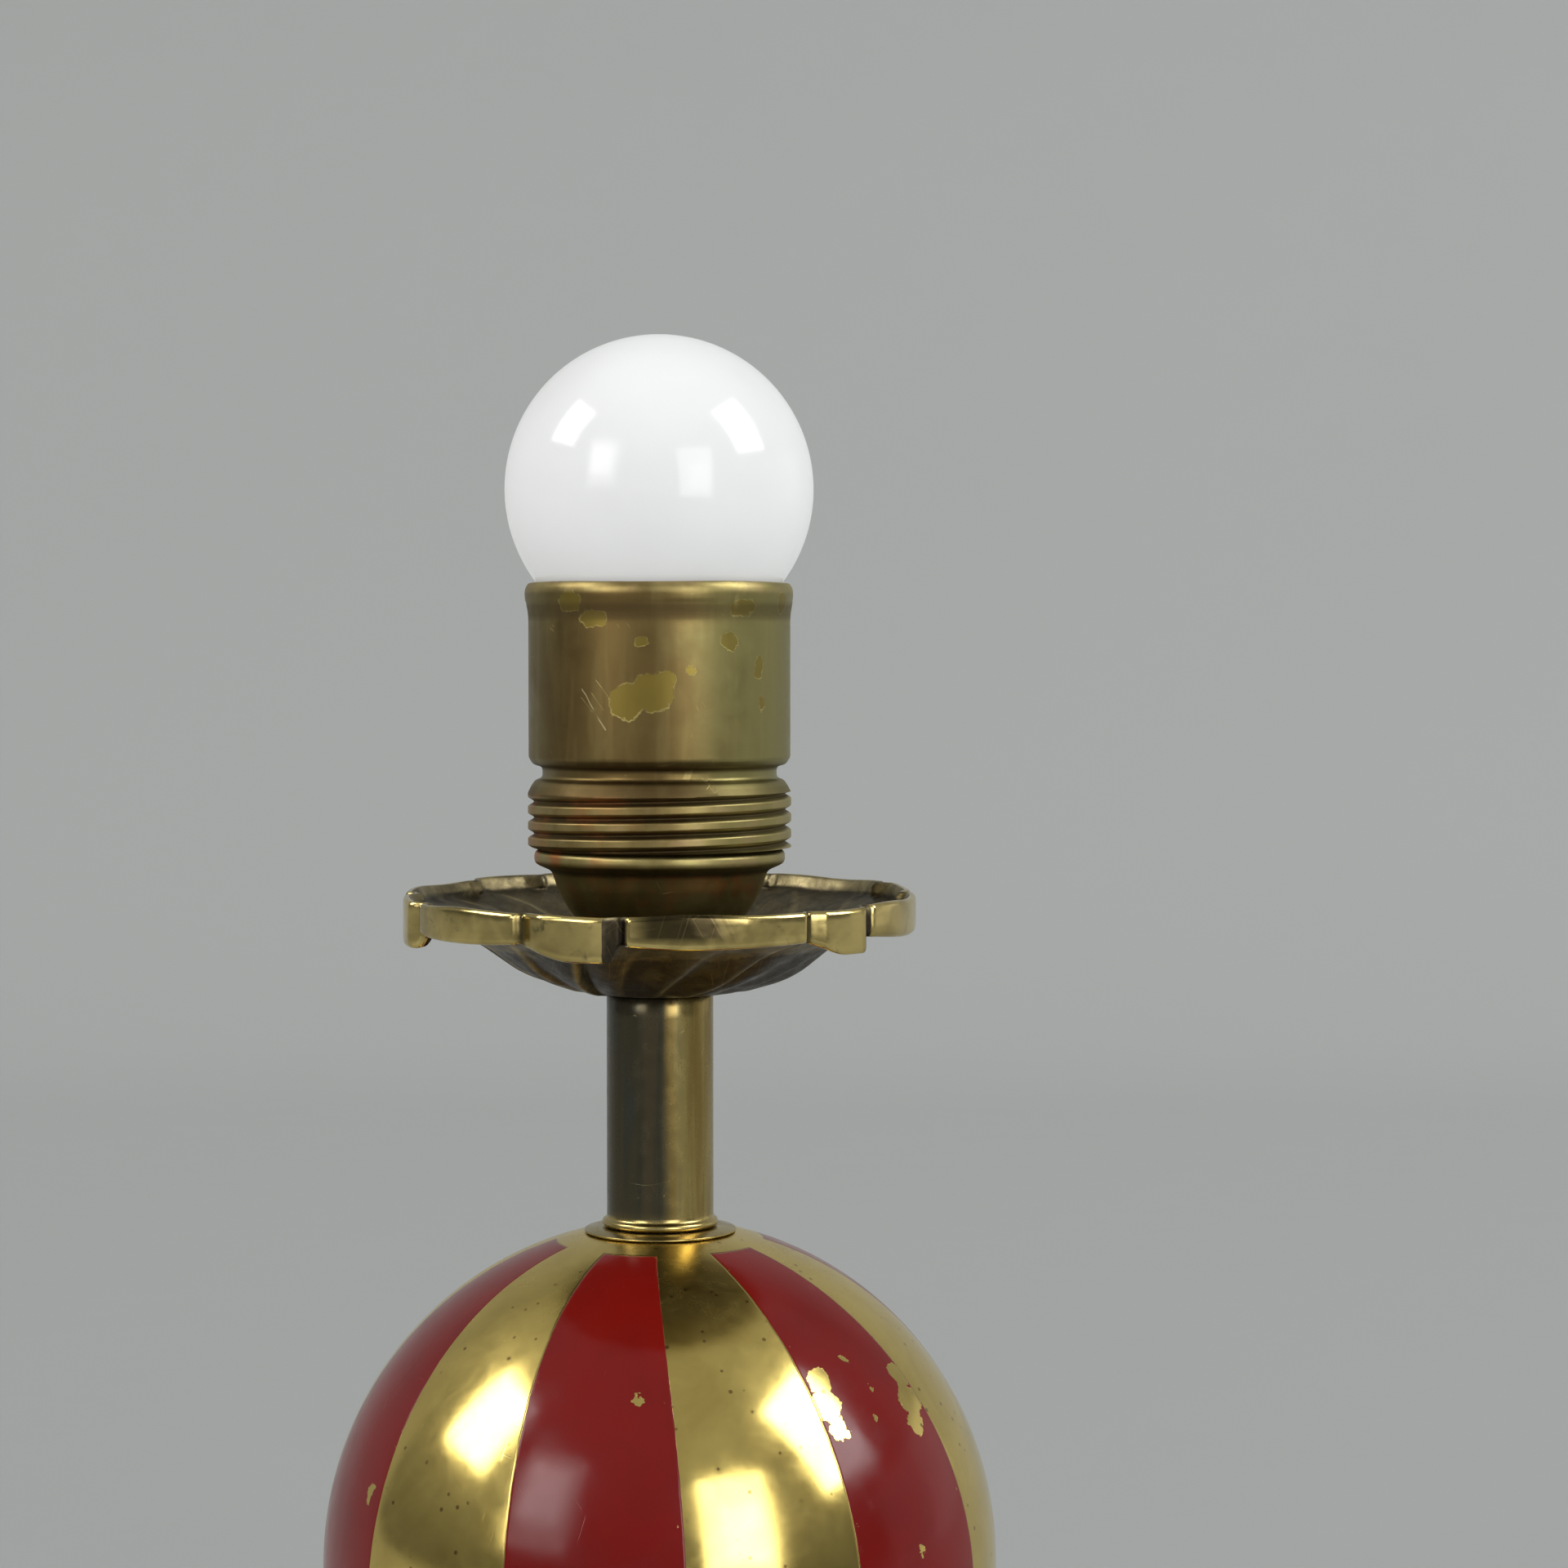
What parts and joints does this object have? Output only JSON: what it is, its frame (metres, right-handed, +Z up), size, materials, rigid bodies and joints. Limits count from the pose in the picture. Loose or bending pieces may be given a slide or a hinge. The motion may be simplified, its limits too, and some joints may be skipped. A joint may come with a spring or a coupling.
{
  "type": "table lamp",
  "caption": "Small brass table lamp: opal globe bulb in a threaded lampholder over a scalloped drip pan, on a tube and a striped ball above a round weighted foot.",
  "frame": {"origin": "centre of the foot's underside, on the surface that the lamp stands on", "axes": "+Z up along the lamp's axis; -Y is the front, +Y the back, where the lead's gland is; +X to the right seen from the front"},
  "size_m": [0.124, 0.124, 0.2734],
  "materials": {
    "opal_glass": "glossy opal white glass",
    "nickel": "nickel-plated brass, satin",
    "black_glass": "black glass insulator, glossy",
    "clear_glass": "clear glass",
    "tungsten": "coiled wire, dull grey",
    "aged_brass": "aged lacquered brass, olive brown with worn yellow edges",
    "porcelain": "off-white porcelain",
    "bright_brass": "plain brass",
    "spring_steel": "spring steel",
    "pan_brass": "polished rim band, dark brown patina underneath",
    "tube_brass": "polished brass with fine scratches",
    "striped_ball": "polished brass with deep red lacquer stripes, chipped",
    "foot_brass": "spun brass, polished with patina in the steps",
    "cast_iron": "rough cast iron",
    "zinc_steel": "zinc-plated steel",
    "green_felt": "dark green felt",
    "black_plastic": "matt black plastic",
    "brown_sleeve": "brown wire insulation",
    "blue_sleeve": "blue wire insulation"
  },
  "bodies": {
    "lamp": {"holder_shell": "aged_brass", "holder_cap": "aged_brass", "pan_spacer": "aged_brass", "holder_insert": "porcelain", "terminal_block": "porcelain", "holder_screw_shell": "bright_brass", "side_contact": "bright_brass", "holder_terminal_screw_left": "bright_brass", "holder_terminal_screw_right": "bright_brass", "cap_nut": "bright_brass", "block_screw_1": "bright_brass", "block_screw_2": "bright_brass", "block_screw_3": "bright_brass", "block_screw_4": "bright_brass", "contact_spring": "spring_steel", "drip_pan": "pan_brass", "upper_tube": "tube_brass", "ball_top_collar": "tube_brass", "ball_foot_collar": "tube_brass", "lower_neck": "tube_brass", "ball": "striped_ball", "foot_shell": "foot_brass", "foot_weight": "cast_iron", "central_rod": "zinc_steel", "rod_washer": "zinc_steel", "rod_lock_washer": "zinc_steel", "rod_nut": "zinc_steel", "cord_clamp": "zinc_steel", "clamp_screw_left": "zinc_steel", "clamp_screw_right": "zinc_steel", "felt_pad": "green_felt", "cord_gland": "black_plastic", "wire_live": "brown_sleeve", "wire_neutral": "blue_sleeve"},
    "bulb_tip": {"bulb_tip_contact": "nickel"},
    "bulb": {"bulb_glass": "opal_glass", "bulb_screw_cap": "nickel", "bulb_insulator": "black_glass", "bulb_stem": "clear_glass", "bulb_support_wire_left": "nickel", "bulb_support_wire_right": "nickel", "bulb_filament": "tungsten"},
    "plunger": {"contact_plunger": "bright_brass"}
  },
  "joints": [
    {"name": "bulb_rise", "type": "slide", "parent": "lamp", "child": "bulb_tip", "axis": [0, 0, 1], "range_m": [0, 0.0109]},
    {"name": "bulb_turn", "type": "hinge", "parent": "bulb_tip", "child": "bulb", "pos_m": [0, 0, 0.2], "axis": [0, 0, 1], "range_deg": [0, 1080]},
    {"name": "plunger_press", "type": "slide", "parent": "lamp", "child": "plunger", "axis": [0, 0, 1], "range_m": [-0.001, 0], "stiffness_N_per_m": 1500, "deforming": ["contact_spring"]}
  ],
  "couplings": [
    {"joint": "bulb_rise", "follows": "bulb_turn", "m_per_rad": 0.00057751}
  ]
}
